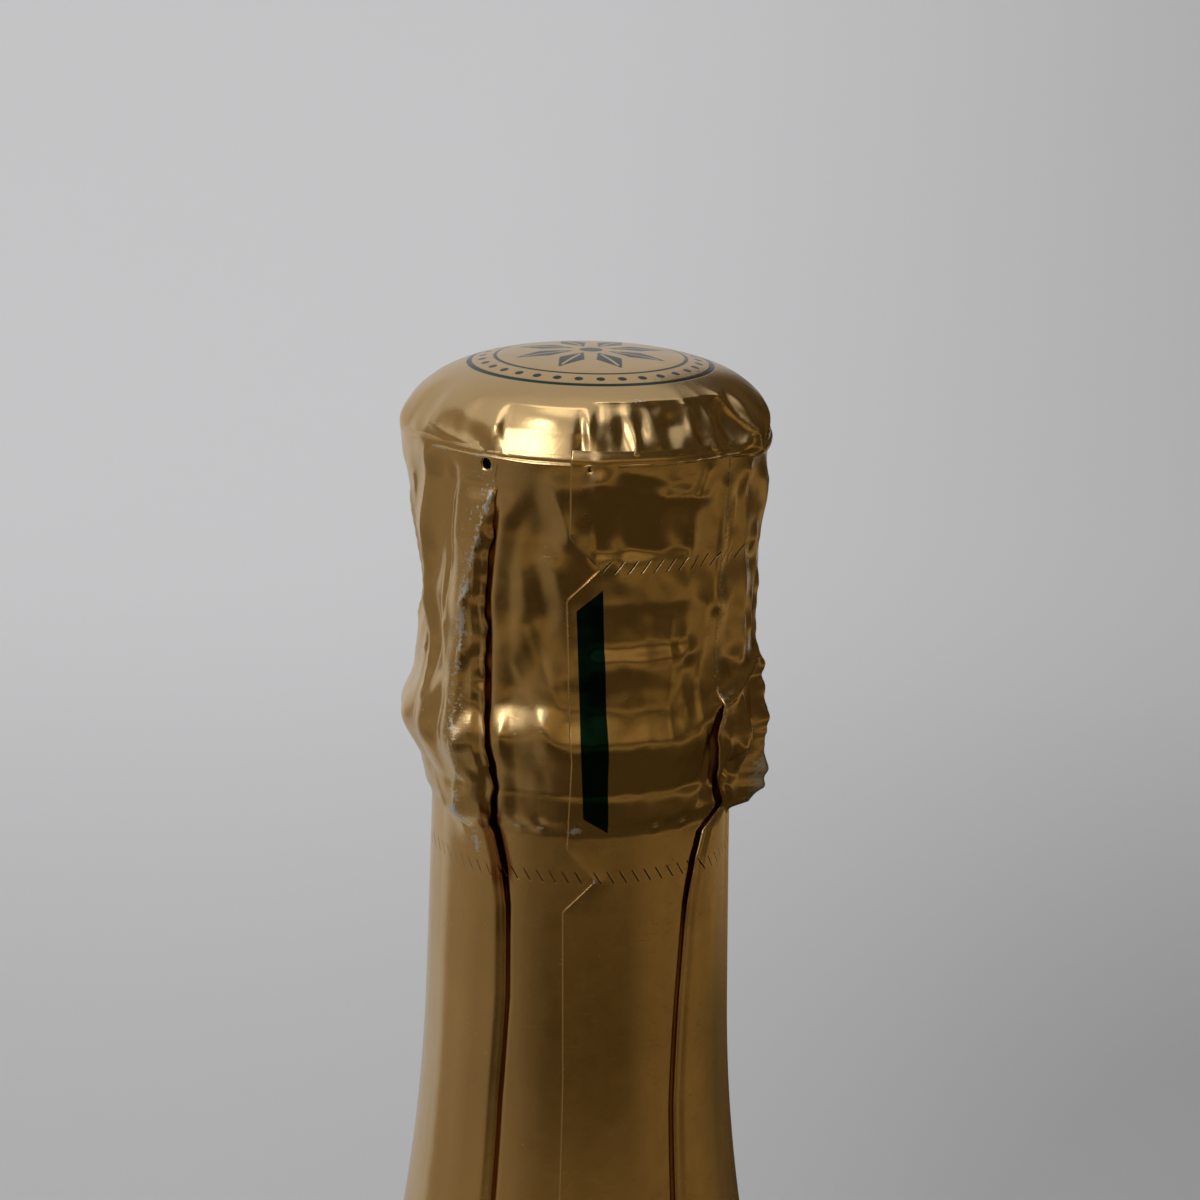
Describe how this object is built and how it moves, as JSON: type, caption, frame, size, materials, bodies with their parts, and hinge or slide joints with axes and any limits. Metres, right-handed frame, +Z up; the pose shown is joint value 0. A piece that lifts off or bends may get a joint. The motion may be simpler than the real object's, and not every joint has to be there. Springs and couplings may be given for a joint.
{
  "type": "sparkling wine bottle",
  "caption": "Shut bottle of sparkling wine: dark green glass with a punted base, a pleated gold foil sleeve over the neck, a domed foil cap and a paper label.",
  "frame": {"origin": "middle of the base, in the plane the bottle stands on", "axes": "+Z up along the bottle's axis to the cap; -Y is the front, where the label and the foil's lap are; +X is to the right seen from the front"},
  "size_m": [0.088, 0.0881, 0.32],
  "materials": {
    "green_glass": "smooth dark green bottle glass, full of wine",
    "gold_foil": "satin gold foil, creased, with silver wear on its folds",
    "cap_foil": "satin gold foil, crumpled at its edge, with a dark green ornament printed on top",
    "label_paper": "matt ivory paper with printed borders"
  },
  "bodies": {
    "root": {"bottle": "green_glass", "foil_skirt": "gold_foil", "foil_cap": "cap_foil", "front_label": "label_paper"}
  },
  "joints": []
}
